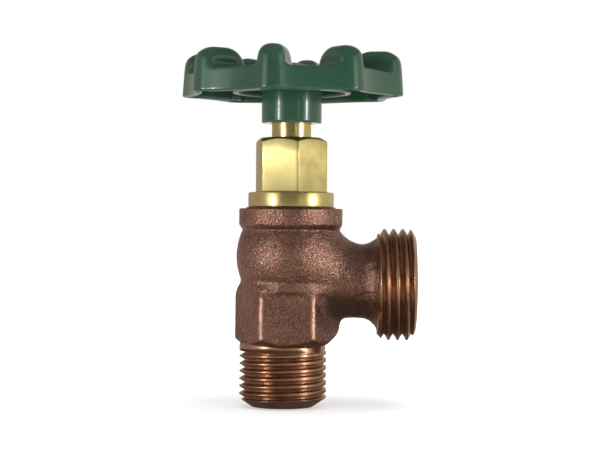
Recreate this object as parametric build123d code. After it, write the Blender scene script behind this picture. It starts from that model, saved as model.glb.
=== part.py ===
# Angle pattern boiler drain valve: cast bronze body, packing nut, rising stem and lobed handwheel.
# Lengths are in millimetres. The inlet end face is at z = 0 with the inlet axis along +Z, and the
# hose outlet points along +X. The valve is modelled shut, with the washer on its seat.
from build123d import *
import os
from math import cos, radians, sin, sqrt, tan

os.makedirs("parts", exist_ok=True)

# Fits
running_gap = 0.05        # radial, between a turning part and its bore
thread_gap = 0.08         # radial, between mating threads, which are drawn as plain cylinders
seating_gap = 0.10        # radial, round a part that is pressed home by hand
end_gap = 0.30            # along the axis, where two ends must not bottom out

# Width of a thread's crests, as a share of its pitch
crest_share = 0.15

# Stem axis and wrench hexagon, measured from the inlet axis towards the outlet
stem_offset = 1.85
wrench_offset = 1.15

# Inlet end: 1/2 in pipe thread, drawn as ring grooves without its taper, then a machined land
inlet_thread_radius = 10.67
inlet_thread_length = 13.25
inlet_thread_pitch = 1.814  # 14 turns to the inch
inlet_thread_depth = 1.25
inlet_groove_count = 6
inlet_groove_start = 0.8  # from the end chamfer to the middle of the first groove
inlet_chamfer_depth = 3.25
inlet_chamfer_length = 2.2
inlet_land_radius = 10.4
inlet_land_length = 1.35
inlet_bore_radius = 6.35

# Wrench hexagon
wrench_flats = 22.2
wrench_corner_length = 9.15
wrench_chamfer_angle = 38.0
wrench_dome_height = 4.4
wrench_dome_middle = (0.32, 0.52)  # shares of the dome's fall and height at its middle
wrench_flat_length = 11.7

# Cast barrel round the stem: waist above the hexagon, globe, throat and collar
waist_radius = 11.75
waist_height = 30.1
globe_radius = 13.1
globe_height = 36.8
throat_radius = 11.9
throat_height = 42.7
collar_radius = 12.45
collar_taper = 1.2
collar_length = 4.9
collar_edge_round = 0.35
lip_radius = 10.75
lip_height = 0.6

# Hose outlet: neck, flare and 3/4 in garden hose thread, drawn as ring grooves
outlet_height = 29.6
neck_rise = 0.75          # the neck is cast above the axis of the thread
neck_radius = 8.85
neck_reach = 16.8         # from the stem axis to the narrowest place of the neck
neck_upper_round = 7.0    # hollow rounds where the neck runs into the barrel and the hexagon
neck_lower_round = 3.0
neck_side_round = 4.1
neck_root_reach = 5.0     # where the neck starts, inside the barrel
neck_round_share = 0.8    # of each hollow round's radius, where it ends inside the barrel
flare_radius = 12.3
flare_length = 4.6
hose_thread_radius = 13.49
hose_thread_length = 9.1
hose_thread_pitch = 2.209  # 11.5 turns to the inch
hose_thread_depth = 1.45
hose_groove_count = 3
hose_groove_start = 2.5   # from the flare to the middle of the first groove
hose_runout = 0.7
hose_chamfer_depth = 1.9
hose_chamfer_length = 1.1
hose_bore_radius = 7.5
hose_bore_length = 9.0
hose_bore_taper = 2.4

# Waterway, raised seat and valve chamber
seat_bore_radius = 4.4
seat_height = 21.9
seat_ring_width = 1.6
seat_ring_rise = 1.4
seat_web = 4.6
inlet_cone_length = 1.9
chamber_radius = 8.6
passage_radius = 5.4
stem_thread_radius = 7.85
body_thread_length = 8.7
stuffing_depth = 5.6      # from the top of the lip down to the ledge under the packing

# Packing nut: male thread, flange and hexagon in one piece
nut_thread_radius = 9.45
nut_flange_radius = 10.35
nut_flange_length = 3.5
nut_flats = 15.875        # 5/8 in across flats
nut_hex_length = 13.2
nut_chamfer_angle = 30.0
nut_chamfer_width = 0.75
nut_corner_angle = 10.7   # of one corner, from the front towards the outlet
packing_bore_radius = 7.2

# Packing
friction_ring_thickness = 1.2
packing_ring_count = 3
packing_ring_thickness = 2.7

# Stem
stem_radius = 4.75        # 3/8 in
stem_bare_length = 3.5    # seen between the nut and the handwheel with the valve shut
stem_thread_length = 7.0
stem_travel = 4.234       # two turns of a thread of 12 turns to the inch
shank_radius = 4.4
cup_radius = 7.0
cup_rim_depth = 1.8
cup_floor = 1.6
stem_square = 5.9
tapped_depth = 9.0

# Seat washer and its screw
washer_radius = 6.4
washer_thickness = 3.2
washer_screw_radius = 1.75
washer_screw_length = 8.0
washer_screw_head_radius = 3.2
washer_screw_head_height = 1.5

# Handwheel
hub_radius = 7.25
hub_drop = 6.25           # from the rim's lower edge down to the hub's lower end
hub_socket_depth = 1.6
hub_top_rise = 0.95       # of the hub's seat for the screw above the web
lobe_count = 9
lobe_angle = -11.0        # of one lobe, from the front towards the outlet
lobe_tip_radius = 27.25
lobe_round = 3.5
valley_depth = 2.8        # of the rim's hollows inside the lobes' tips
rim_height = 5.3
rim_draft = 4.0           # degrees
rim_wall = 2.2
rim_edge_round = 0.5
web_thickness = 2.0
fin_length = 10.3         # inwards from the lobe's tip
fin_thickness = 5.8
fin_setback = 0.50        # of the fin's end inside the lobe below it
fin_height = 5.65         # above the rim
fin_corner_round = 4.4
fin_edge_round = 2.2
fin_wall = 1.5
under_ring_radius = 14.4
under_ring_width = 1.4
under_ring_setback = 0.7  # of the ring above the rim's lower edge

# Handwheel screw
handle_screw_radius = 2.1
handle_screw_length = 8.0
handle_screw_head_radius = 4.3
handle_screw_head_height = 2.2
handle_screw_crown = 1.0  # of the domed top above the head's edge

# Screwdriver slots
slot_width = 1.0
slot_share = 0.45         # of the head's height

# Heights that follow from the sizes above
wrench_base = inlet_thread_length + inlet_land_length
wrench_corner_radius = wrench_flats / sqrt(3)
wrench_chamfer_height = (wrench_corner_radius - inlet_land_radius) * tan(radians(wrench_chamfer_angle))
wrench_corner_top = wrench_base + wrench_chamfer_height + wrench_corner_length
collar_base = throat_height + collar_taper
collar_top = throat_height + collar_length
lip_top = collar_top + lip_height
ledge_height = lip_top - stuffing_depth
body_thread_base = ledge_height - body_thread_length
counterbore_radius = nut_thread_radius + thread_gap
body_thread_radius = stem_thread_radius + thread_gap
flange_top = lip_top + nut_flange_length
nut_top = flange_top + nut_hex_length
packing_base = ledge_height + friction_ring_thickness
packing_top = packing_base + packing_ring_count * packing_ring_thickness
stem_bore_radius = stem_radius + running_gap
hub_base = nut_top + stem_bare_length
rim_base = hub_base + hub_drop
rim_top = rim_base + rim_height
hub_top = rim_top + hub_top_rise
stem_shoulder = hub_base + hub_socket_depth
square_hole = stem_square + 2 * running_gap
stem_end = hub_top - end_gap
washer_top = seat_height + washer_thickness
cup_rim = washer_top - cup_rim_depth
cup_top = washer_top + cup_floor
stem_thread_top = ledge_height - stem_travel - end_gap
stem_thread_base = stem_thread_top - stem_thread_length
hose_face = stem_offset + neck_reach + flare_length + hose_thread_length
hose_thread_start = hose_face - hose_thread_length


def turned(outline, x_centre=0.0):
    """Solid of revolution about a vertical axis, from a closed outline of radius and height."""
    face = make_face(Plane.XZ * outline)
    return Pos(x_centre, 0, 0) * revolve(face, Axis.Z)


def turned_steps(points, x_centre=0.0):
    """Solid of revolution from straight-sided (radius, height) points."""
    return turned(Polyline(*points, close=True), x_centre)


def dome(radius, rim, crown):
    """Spherical arc from (radius, rim) to the crown on the axis, up or down."""
    rise = abs(crown - rim)
    sphere = (radius ** 2 + rise ** 2) / (2 * rise)
    fall = sphere - sqrt(sphere ** 2 - (radius / 2) ** 2)
    middle = crown - fall if crown > rim else crown + fall
    return ThreePointArc((radius, rim), (radius / 2, middle), (0, crown))


def drilled(radius, low, high, x_centre):
    """Plain vertical cylinder between two heights."""
    cylinder = Cylinder(radius, high - low, align=(Align.CENTER, Align.CENTER, Align.MIN))
    return Pos(x_centre, 0, low) * cylinder


def along_outlet(solid):
    """Turn a solid made along +Z from the origin so that it runs along the outlet's axis."""
    return Pos(stem_offset, 0, outlet_height) * Rot(0, 90, 0) * solid


def hexagon_prism(flats, low, high, x_centre, corner_angle):
    """Hexagonal prism with one corner at corner_angle, from the front towards the outlet."""
    section = RegularPolygon(flats / 2, 6, major_radius=False, rotation=corner_angle - 90)
    return Pos(x_centre, 0, low) * extrude(section, high - low)


def ring_grooves(radius, depth, pitch, first, count):
    """Outline points of the V grooves between a thread's crests, with the first one's middle at first."""
    half_width = pitch * (1 - crest_share) / 2
    points = []
    for groove in range(count):
        middle = first + groove * pitch
        points.append((radius, middle - half_width))
        points.append((radius - depth, middle))
        points.append((radius, middle + half_width))
    return points


def inlet_end():
    """Threaded spigot with its end chamfer, and the machined land under the hexagon."""
    grooves = ring_grooves(
        inlet_thread_radius,
        inlet_thread_depth,
        inlet_thread_pitch,
        inlet_chamfer_length + inlet_groove_start,
        inlet_groove_count,
    )
    return turned_steps(
        [
            (0, 0),
            (inlet_thread_radius - inlet_chamfer_depth, 0),
            (inlet_thread_radius, inlet_chamfer_length),
            *grooves,
            (inlet_thread_radius, inlet_thread_length),
            (inlet_land_radius, inlet_thread_length),
            (inlet_land_radius, wrench_base + wrench_chamfer_height),
            (0, wrench_base + wrench_chamfer_height),
        ]
    )


def wrench_hexagon():
    """Cast hexagon, chamfered below and domed into the waist above, with a flat facing the front."""
    dome_top = wrench_corner_top + wrench_dome_height
    top_radius = wrench_flats / 2
    fall = wrench_corner_radius - top_radius
    fall_share, rise_share = wrench_dome_middle
    sides = Polyline(
        (0, dome_top),
        (0, wrench_base),
        (inlet_land_radius, wrench_base),
        (wrench_corner_radius, wrench_base + wrench_chamfer_height),
        (wrench_corner_radius, wrench_corner_top),
    )
    dome = ThreePointArc(
        (wrench_corner_radius, wrench_corner_top),
        (wrench_corner_radius - fall_share * fall, wrench_corner_top + rise_share * wrench_dome_height),
        (top_radius, dome_top),
    )
    cap = Line((top_radius, dome_top), (0, dome_top))
    envelope = turned(Curve() + [sides, dome, cap], wrench_offset)
    prism = hexagon_prism(wrench_flats, wrench_base, dome_top, wrench_offset, 30)
    return prism & envelope


def barrel():
    """Waist, globe, throat, collar and raised lip, turned about the stem axis."""
    hidden_radius = wrench_flats / 2 - abs(stem_offset - wrench_offset) - end_gap
    flat_top = wrench_base + wrench_flat_length
    brow = flat_top + (waist_radius - hidden_radius)
    lower = Polyline(
        (0, wrench_base + wrench_chamfer_height),
        (hidden_radius, wrench_base + wrench_chamfer_height),
        (hidden_radius, flat_top),
        (waist_radius, brow),
        (waist_radius, waist_height),
    )
    globe = ThreePointArc(
        (waist_radius, waist_height),
        (globe_radius, globe_height),
        (throat_radius, throat_height),
    )
    upper = Polyline(
        (throat_radius, throat_height),
        (collar_radius, collar_base),
        (collar_radius, collar_top - collar_edge_round),
        (collar_radius - collar_edge_round, collar_top),
        (lip_radius, collar_top),
        (lip_radius, lip_top),
        (0, lip_top),
        (0, wrench_base + wrench_chamfer_height),
    )
    return turned(Curve() + [lower, globe, upper], stem_offset)


def hollow_round(radius, run, share):
    """Growth along a hollow round, which ends at a share of its radius."""
    reach = min(max(run, 0), share * radius)
    return radius - sqrt(radius ** 2 - reach ** 2)


def neck_section(reach, upper, lower, side):
    """Oval across the outlet, between an upper and a lower height."""
    plane = Plane(
        origin=(stem_offset + reach, 0, (upper + lower) / 2),
        x_dir=(0, 1, 0),
        z_dir=(1, 0, 0),
    )
    return plane * Ellipse(side, (upper - lower) / 2)


def neck():
    """Neck that swells into the barrel at one end and flares out to the hose thread at the other."""
    height = outlet_height + neck_rise
    side_start = sqrt((waist_radius + neck_side_round) ** 2 - (neck_radius + neck_side_round) ** 2)
    lower_start = wrench_offset - stem_offset + wrench_corner_radius + neck_lower_round
    sections = []
    inner_steps = 8
    for step in range(inner_steps):
        reach = neck_root_reach + (neck_reach - neck_root_reach) * step / inner_steps
        upper = height + neck_radius + hollow_round(neck_upper_round, neck_reach - reach, neck_round_share)
        lower = height - neck_radius - hollow_round(neck_lower_round, lower_start - reach, neck_round_share)
        side = neck_radius + hollow_round(neck_side_round, side_start - reach, neck_round_share)
        sections.append(neck_section(reach, upper, lower, side))
    flare_growth = flare_radius - neck_radius
    flare_round = (flare_length ** 2 + flare_growth ** 2) / (2 * flare_growth)
    flare_steps = 4
    for step in range(flare_steps + 1):
        run = flare_length * step / flare_steps
        growth = hollow_round(flare_round, run, 1)
        centre = height - neck_rise * growth / flare_growth
        radius = neck_radius + growth
        sections.append(neck_section(neck_reach + run, centre + radius, centre - radius, radius))
    return loft(sections)


def hose_end():
    """Hose thread with its runout and end chamfer."""
    start = hose_thread_start - stem_offset
    end = hose_face - stem_offset
    grooves = ring_grooves(
        hose_thread_radius,
        hose_thread_depth,
        hose_thread_pitch,
        start + hose_groove_start,
        hose_groove_count,
    )
    outline = [
        (0, start),
        (flare_radius, start),
        (hose_thread_radius, start + hose_runout),
        *grooves,
        (hose_thread_radius, end - hose_chamfer_length),
        (hose_thread_radius - hose_chamfer_depth, end),
        (0, end),
    ]
    return along_outlet(turned_steps(outline))


def body_outside():
    """The casting with its machined ends, before the waterway is cut."""
    return barrel() + wrench_hexagon() + neck() + hose_end() + inlet_end()


def inlet_way():
    """Inlet bore, cone and seat bore."""
    cone_base = seat_height - seat_web - inlet_cone_length
    bore = drilled(inlet_bore_radius, 0, cone_base, 0)
    low = Pos(0, 0, cone_base) * Circle(inlet_bore_radius)
    high = Pos(stem_offset, 0, cone_base + inlet_cone_length) * Circle(seat_bore_radius)
    seat_bore = drilled(seat_bore_radius, cone_base + inlet_cone_length, seat_height, stem_offset)
    return bore + loft([low, high]) + seat_bore


def chamber():
    """Valve chamber round the raised seat, stem thread and counterbore for the packing nut."""
    seat_floor = seat_height - seat_ring_rise
    ring_radius = seat_bore_radius + seat_ring_width
    return turned_steps(
        [
            (0, seat_height),
            (ring_radius, seat_height),
            (ring_radius + seat_ring_rise / 3, seat_floor),
            (chamber_radius, seat_floor),
            (chamber_radius, body_thread_base),
            (body_thread_radius, body_thread_base),
            (body_thread_radius, ledge_height),
            (counterbore_radius, ledge_height),
            (counterbore_radius, lip_top),
            (0, lip_top),
        ],
        stem_offset,
    )


def outlet_way():
    """Cored passage from the chamber, widening into the bore of the hose end."""
    end = hose_face - stem_offset
    bore_start = end - hose_bore_length
    outline = [
        (0, 0),
        (passage_radius, 0),
        (passage_radius, bore_start - hose_bore_taper),
        (hose_bore_radius, bore_start),
        (hose_bore_radius, end),
        (0, end),
    ]
    return along_outlet(turned_steps(outline))


def make_body():
    return body_outside() - inlet_way() - chamber() - outlet_way()


def make_packing_nut():
    """Brass nut: hexagon over a flange, a male thread below and the packing space inside it."""
    thread_end = packing_base + end_gap
    hexagon = hexagon_prism(nut_flats, flange_top, nut_top, stem_offset, nut_corner_angle)
    corner_radius = nut_flats / sqrt(3)
    chamfer_top_radius = nut_flats / 2 - nut_chamfer_width
    chamfer_fall = (corner_radius - chamfer_top_radius) * tan(radians(nut_chamfer_angle))
    envelope = turned_steps(
        [
            (0, flange_top),
            (corner_radius, flange_top),
            (corner_radius, nut_top - chamfer_fall),
            (chamfer_top_radius, nut_top),
            (0, nut_top),
        ],
        stem_offset,
    )
    stem = turned_steps(
        [
            (0, thread_end),
            (nut_thread_radius, thread_end),
            (nut_thread_radius, lip_top),
            (nut_flange_radius, lip_top),
            (nut_flange_radius, flange_top),
            (0, flange_top),
        ],
        stem_offset,
    )
    packing_space = drilled(packing_bore_radius, thread_end, packing_top, stem_offset)
    stem_bore = drilled(stem_bore_radius, packing_top, nut_top, stem_offset)
    return stem + (hexagon & envelope) - packing_space - stem_bore


def ring(outer, inner, low, high):
    """Flat ring about the stem axis."""
    return drilled(outer, low, high, stem_offset) - drilled(inner, low, high, stem_offset)


def make_friction_ring():
    outer = counterbore_radius - seating_gap
    return ring(outer, stem_bore_radius, ledge_height, packing_base)


def make_packing_ring(index):
    """Soft packing ring, counted from the bottom."""
    low = packing_base + index * packing_ring_thickness
    outer = packing_bore_radius - running_gap
    return ring(outer, stem_bore_radius, low, low + packing_ring_thickness)


def make_stem():
    """Stem: washer cup, shank, thread, packed shaft and the square that drives the handwheel."""
    recess_radius = washer_radius + seating_gap
    turned_stem = turned_steps(
        [
            (0, washer_top),
            (recess_radius, washer_top),
            (recess_radius, cup_rim),
            (cup_radius, cup_rim),
            (cup_radius, cup_top),
            (shank_radius, cup_top + cup_radius - shank_radius),
            (shank_radius, stem_thread_base),
            (stem_thread_radius, stem_thread_base),
            (stem_thread_radius, stem_thread_top),
            (stem_radius, stem_thread_top),
            (stem_radius, stem_shoulder),
            (0, stem_shoulder),
        ],
        stem_offset,
    )
    square_length = stem_end - stem_shoulder
    square = Pos(stem_offset, 0, stem_shoulder) * Box(
        stem_square, stem_square, square_length, align=(Align.CENTER, Align.CENTER, Align.MIN)
    )
    screw_hole = drilled(handle_screw_radius + thread_gap, stem_end - tapped_depth, stem_end, stem_offset)
    washer_hole_top = washer_top + tapped_depth
    washer_hole = drilled(washer_screw_radius + thread_gap, washer_top, washer_hole_top, stem_offset)
    return turned_stem + square - screw_hole - washer_hole


def make_seat_washer():
    hole = washer_screw_radius + seating_gap
    return ring(washer_radius, hole, seat_height, washer_top)


def make_seat_screw():
    """Round-headed screw that holds the washer in its cup, head down."""
    head_low = seat_height - washer_screw_head_height
    shank_top = seat_height + washer_thickness + washer_screw_length
    rest = Polyline(
        (0, head_low),
        (0, shank_top),
        (washer_screw_radius, shank_top),
        (washer_screw_radius, seat_height),
        (washer_screw_head_radius, seat_height),
    )
    head = dome(washer_screw_head_radius, seat_height, head_low)
    slot_depth = slot_share * washer_screw_head_height
    slot = Pos(stem_offset, 0, head_low) * Box(
        2 * washer_screw_head_radius, slot_width, slot_depth, align=(Align.CENTER, Align.CENTER, Align.MIN)
    )
    return turned(Curve() + [rest, head], stem_offset) - slot


def make_handle_screw():
    """Pan-headed screw that holds the handwheel on the stem."""
    head_top = hub_top + handle_screw_head_height
    shank_low = hub_top - handle_screw_length
    shoulder = head_top - handle_screw_crown
    pan = dome(handle_screw_head_radius, shoulder, head_top)
    rest = Polyline(
        (0, head_top),
        (0, shank_low),
        (handle_screw_radius, shank_low),
        (handle_screw_radius, hub_top),
        (handle_screw_head_radius, hub_top),
        (handle_screw_head_radius, shoulder),
    )
    slot_depth = slot_share * handle_screw_head_height
    slot = Pos(stem_offset, 0, head_top) * Box(
        2 * handle_screw_head_radius, slot_width, 2 * slot_depth
    )
    return turned(Curve() + [pan, rest], stem_offset) - slot


def lobed_outline(inset):
    """Rim outline of round lobes joined by tangent hollow arcs, drawn inset by a wall."""
    half_step = radians(180 / lobe_count)
    lobe_centre = lobe_tip_radius - lobe_round
    valley_radius = lobe_tip_radius - valley_depth
    gap = lobe_round - valley_radius
    reach = lobe_centre * cos(half_step)
    valley_centre = (lobe_centre ** 2 - gap ** 2) / (2 * (gap + reach))
    round_radius = lobe_round - inset
    hollow_radius = valley_centre - valley_radius + inset
    arcs = []

    def at(radius, angle):
        return Vector(radius * cos(angle), radius * sin(angle))

    for lobe in range(lobe_count):
        angle = radians(lobe_angle - 90) + 2 * half_step * lobe
        centre = at(lobe_centre, angle)
        before = at(valley_centre, angle - half_step)
        after = at(valley_centre, angle + half_step)
        beyond = at(lobe_centre, angle + 2 * half_step)
        start = centre + (before - centre).normalized() * round_radius
        tip = at(lobe_centre + round_radius, angle)
        end = centre + (after - centre).normalized() * round_radius
        bottom = at(valley_centre - hollow_radius, angle + half_step)
        following = beyond + (after - beyond).normalized() * round_radius
        arcs.append(ThreePointArc(start, tip, end))
        arcs.append(ThreePointArc(end, bottom, following))
    return make_face(Curve() + arcs)


def fin_blank(inset, low, high, thickness):
    """Radial plate along +X between two heights, with round upper corners."""
    inner = lobe_tip_radius - fin_length + inset
    outer = lobe_tip_radius - fin_setback - inset
    middle = Pos((inner + outer) / 2, (low + high) / 2)
    profile = Plane.XZ * middle * Rectangle(outer - inner, high - low)
    upper_corners = profile.vertices().group_by(Axis.Z)[-1]
    profile = fillet(upper_corners, fin_corner_round - inset)
    return extrude(profile, thickness / 2, both=True)


def make_fin():
    """Fin with its two upper outlines rounded over."""
    low = rim_top - web_thickness
    plate = fin_blank(0, low, rim_top + fin_height, fin_thickness)
    outlines = []
    for edge in plate.edges():
        middle = edge.center()
        on_a_side = abs(abs(middle.Y) - fin_thickness / 2) < 0.001
        if on_a_side and middle.Z > low + 0.001:
            outlines.append(edge)
    return fillet(outlines, fin_edge_round)


def all_round(solid):
    """Copies of a solid made along +X, one for each lobe."""
    first = lobe_angle - 90
    return [Rot(0, 0, first + lobe * 360 / lobe_count) * solid for lobe in range(lobe_count)]


def upright(radius, low, high):
    """Plain cylinder about the handwheel's own axis."""
    cylinder = Cylinder(radius, high - low, align=(Align.CENTER, Align.CENTER, Align.MIN))
    return Pos(0, 0, low) * cylinder


def make_handwheel():
    """Die cast handwheel: a lobed rim with a tall radial fin on each lobe, hollow underneath."""
    rim = Pos(0, 0, rim_base) * extrude(lobed_outline(0), rim_height, taper=rim_draft)
    levels = rim.edges().group_by(Axis.Z)
    rim = fillet(levels[0] + levels[-1], rim_edge_round)
    hollow_top = rim_top - web_thickness
    hollow = Pos(0, 0, rim_base) * extrude(lobed_outline(rim_wall), rim_height - web_thickness)
    core_thickness = fin_thickness - 2 * fin_wall
    core = fin_blank(fin_wall, rim_base, rim_top + fin_height - fin_wall, core_thickness)
    wheel = rim - hollow + all_round(make_fin()) - all_round(core)
    ring_base = rim_base + under_ring_setback
    ring_inner = upright(under_ring_radius - under_ring_width, ring_base, hollow_top)
    wheel += upright(under_ring_radius, ring_base, hollow_top) - ring_inner
    wheel += upright(hub_radius, hub_base, hub_top)
    wheel -= upright(stem_bore_radius, hub_base, stem_shoulder)
    square = Box(square_hole, square_hole, hub_top - hub_base, align=(Align.CENTER, Align.CENTER, Align.MIN))
    wheel -= Pos(0, 0, hub_base) * square
    return Pos(stem_offset, 0, 0) * wheel


def save(solid, name):
    export_step(solid, f"parts/{name}.step")


save(make_body(), "body")
save(make_packing_nut(), "packing_nut")
save(make_friction_ring(), "friction_ring")
for number in range(packing_ring_count):
    save(make_packing_ring(number), f"packing_ring_{number + 1}")
save(make_stem(), "stem")
save(make_seat_washer(), "seat_washer")
save(make_seat_screw(), "seat_screw")
save(make_handwheel(), "handwheel")
save(make_handle_screw(), "handle_screw")
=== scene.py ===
"""Finished surfaces of a bronze boiler drain valve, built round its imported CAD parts."""

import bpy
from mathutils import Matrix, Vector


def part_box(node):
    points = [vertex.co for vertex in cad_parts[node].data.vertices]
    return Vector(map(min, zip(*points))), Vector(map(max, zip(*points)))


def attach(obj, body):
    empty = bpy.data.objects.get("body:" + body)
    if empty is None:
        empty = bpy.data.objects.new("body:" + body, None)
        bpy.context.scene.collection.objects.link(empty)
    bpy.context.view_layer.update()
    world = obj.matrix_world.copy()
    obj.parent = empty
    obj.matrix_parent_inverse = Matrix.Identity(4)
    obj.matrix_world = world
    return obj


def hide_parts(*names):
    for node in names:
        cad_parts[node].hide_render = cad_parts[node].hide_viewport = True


bl_info = {
    "name": "Boiler drain valve",
    "version": (1, 0, 0),
    "blender": (4, 5, 0),
    "location": "3D View > Sidebar > Drain valve",
    "description": "Builds the cast body, threads, packing nut, handwheel and studio round the CAD parts",
    "category": "Add Mesh",
}

from math import atan2, cos, hypot, pi, radians, sin, sqrt, tan

import bmesh
import bpy
import numpy as np
import openvdb
from mathutils import Euler, Vector

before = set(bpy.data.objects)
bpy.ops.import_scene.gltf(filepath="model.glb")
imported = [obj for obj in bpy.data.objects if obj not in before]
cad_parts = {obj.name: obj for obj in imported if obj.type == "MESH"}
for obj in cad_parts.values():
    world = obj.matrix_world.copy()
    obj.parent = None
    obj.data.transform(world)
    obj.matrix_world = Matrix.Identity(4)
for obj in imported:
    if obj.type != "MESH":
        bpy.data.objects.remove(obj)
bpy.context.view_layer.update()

MM = 0.001
ROOT_BODY = "valve_body"
TURNING_BODY = "spindle"
FULL_TURN = 2 * pi


def node_limits(node):
    """Lowest and highest corner of a CAD node, in millimetres."""
    low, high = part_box(node)
    return [value / MM for value in low], [value / MM for value in high]


# Places read from the CAD nodes, in millimetres
BODY_LOW, BODY_HIGH = node_limits("body")
NUT_LOW, NUT_HIGH = node_limits("packing_nut")
WHEEL_LOW, WHEEL_HIGH = node_limits("handwheel")
STEM_LOW, STEM_HIGH = node_limits("stem")
SCREW_LOW, SCREW_HIGH = node_limits("handle_screw")
STEM_X = (STEM_LOW[0] + STEM_HIGH[0]) / 2
LIP_TOP = BODY_HIGH[2]
NUT_TOP = NUT_HIGH[2]
NUT_BOTTOM = NUT_LOW[2]
FLANGE_RADIUS = (NUT_HIGH[0] - NUT_LOW[0]) / 2
HUB_BASE = WHEEL_LOW[2]
FIN_TOP = WHEEL_HIGH[2]

# Casting, in millimetres
INLET_RADIUS = 10.67
INLET_LENGTH = 13.25
INLET_CHAMFER = (3.25, 2.2)
INLET_BORE = 6.35
INLET_SEAM = -75.0
LAND_RADIUS = 10.4
WRENCH_X = 1.15
WRENCH_FLATS = 22.2
WRENCH_BASE = 14.6
WRENCH_CHAMFER_TOP = 16.55
WRENCH_CORNER_TOP = 25.65
WRENCH_CORNER_ROUND = 1.0
WRENCH_DOME_TOP = 30.05
WRENCH_FLAT_TOP = 26.3
WAIST = (11.75, 30.1)
GLOBE = (13.1, 36.8)
THROAT = (11.55, 42.6)
COLLAR_RADIUS = 12.45
COLLAR_BASE = 43.9
COLLAR_TOP = 47.8
LIP_RADIUS = 10.75
OUTLET_Z = 29.6
NECK_RISE = 0.75
NECK_RADIUS = 8.85
NECK_REACH = 16.8
FLARE_RADIUS = 12.3
FLARE_LENGTH = 4.6
HOSE_SETBACK = 0.4
HOSE_FACE = BODY_HIGH[0] - HOSE_SETBACK
HOSE_RADIUS = 13.49
HOSE_LENGTH = 9.1
HOSE_START = HOSE_FACE - HOSE_LENGTH
HOSE_CREST_SHIFT = 0.35
HOSE_CHAMFER = (1.9, 1.1)
HOSE_BORE = 7.5
HOSE_BORE_LENGTH = 9.0
HOSE_BORE_TAPER = 2.4
PASSAGE = 5.4
SEAT_BORE = 4.4
SEAT_Z = 21.9
CHAMBER_RADIUS = 8.6
BODY_THREAD_BASE = 33.9
BODY_THREAD_RADIUS = 7.93
LEDGE_Z = 42.6
COUNTERBORE = 9.53
PARTING_HEIGHT = 0.06
PARTING_WIDTH = 0.22

# Packing nut and handwheel, in millimetres
NUT_FLATS = 15.875
NUT_CORNER_ANGLE = 10.7
NUT_CORNER_ROUND = 0.3
FLANGE_TOP = 51.7
FLANGE_EDGE = 0.3
NUT_THREAD_RADIUS = 9.45
PACKING_BORE = 7.2
PACKING_TOP = 51.9
STEM_BORE = 4.8
HUB_RADIUS = 7.25
RIM_BASE = 74.85
RIM_TOP = 80.5
RIM_DRAFT = 4.0
HUB_TOP = 80.9
WEB = 2.0
LOBES = 8
LOBE_ANGLE = -11.0
LOBE_TIP = 27.2
LOBE_ROUND = 4.5
VALLEY = 24.4
RIM_WALL = 2.2
FIN_INNER = 14.5
FIN_THICKNESS = 6.7
FIN_CORNER = 5.0
FIN_WALL = 1.5
RING_RADIUS = 14.4
RING_WIDTH = 1.4
RING_SETBACK = 0.7
SCREW_SHANK = 2.1
SCREW_SLOT = (0.5, 1.0)

# View: the picture's size and the ground's row in pixels, then their scale at the stem
PHOTO_WIDTH, PHOTO_HEIGHT = 600.0, 450.0
GROUND_ROW = 406.1
PIXELS_PER_MM = 4.13

# Camera: its offset from the stem in millimetres and its roll in degrees
CAMERA_SIDE = 2.2
CAMERA_ROLL = -0.42

# Light that the surroundings give to matt surfaces, where the camera and reflections see 1
SOFT_LIGHT = 0.45
WHITE = (1, 1, 1)

# Height on the stem that the softboxes point at, in millimetres
AIM_HEIGHT = 45

# Softboxes: name, azimuth and elevation in degrees, distance, width and height in mm, share of the power
SOFTBOXES = (
    ("strip_left", -50, -4, 700, 46, 300, 1.0),
    ("strip_right", 60, -4, 700, 46, 300, 1.1),
    ("strip_thin", 27, -4, 700, 8, 300, 0.05),
    ("softbox_top", 10, 75, 800, 500, 500, 0.9),
)

# Distance and lowest and highest edge of the round cards, in millimetres
CARD_DISTANCE = 710
CARD_HEIGHTS = (-400, 500)

# Round cards, that only reflections see: name, first and last azimuth in degrees, tone
ROUND_CARDS = (
    ("front_card", -34, 46, (0.17, 0.15, 0.13)),
    ("left_card", -178, -66, (0.42, 0.35, 0.34)),
    ("right_card", 76, 178, (0.6, 0.57, 0.5)),
)

# Level cards, that only reflections see: name, height and reach in mm, tone
LEVEL_CARDS = (
    ("top_card", 500, 720, (0.2, 0.2, 0.2)),
    ("floor_card", -0.12, 690, (0.5, 0.47, 0.43)),
    # Painted shadow: a dark card under the valve, seen in reflections as its contact shadow
    ("contact_shadow_card", -0.06, 48, (0.1, 0.09, 0.08)),
)


class ValveSizes(bpy.types.PropertyGroup):
    """Sizes of the finish that a user would change."""

    inlet_pitch: bpy.props.FloatProperty(
        name="Inlet pitch", description="Turn to turn of the pipe thread, in mm", default=1.814
    )
    inlet_depth: bpy.props.FloatProperty(
        name="Inlet thread depth", description="Crest to root of the pipe thread, in mm", default=1.25
    )
    hose_pitch: bpy.props.FloatProperty(
        name="Hose pitch", description="Turn to turn of the hose thread, in mm", default=2.209
    )
    hose_depth: bpy.props.FloatProperty(
        name="Hose thread depth", description="Crest to root of the hose thread, in mm", default=1.45
    )
    casting_wave: bpy.props.FloatProperty(
        name="Casting waviness", description="Unevenness of the cast skin, in mm", default=0.035
    )
    casting_step: bpy.props.FloatProperty(
        name="Casting resolution", description="Grid step of the cast body, in mm", default=0.22
    )
    wheel_step: bpy.props.FloatProperty(
        name="Handwheel resolution", description="Grid step of the handwheel, in mm", default=0.24
    )


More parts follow.
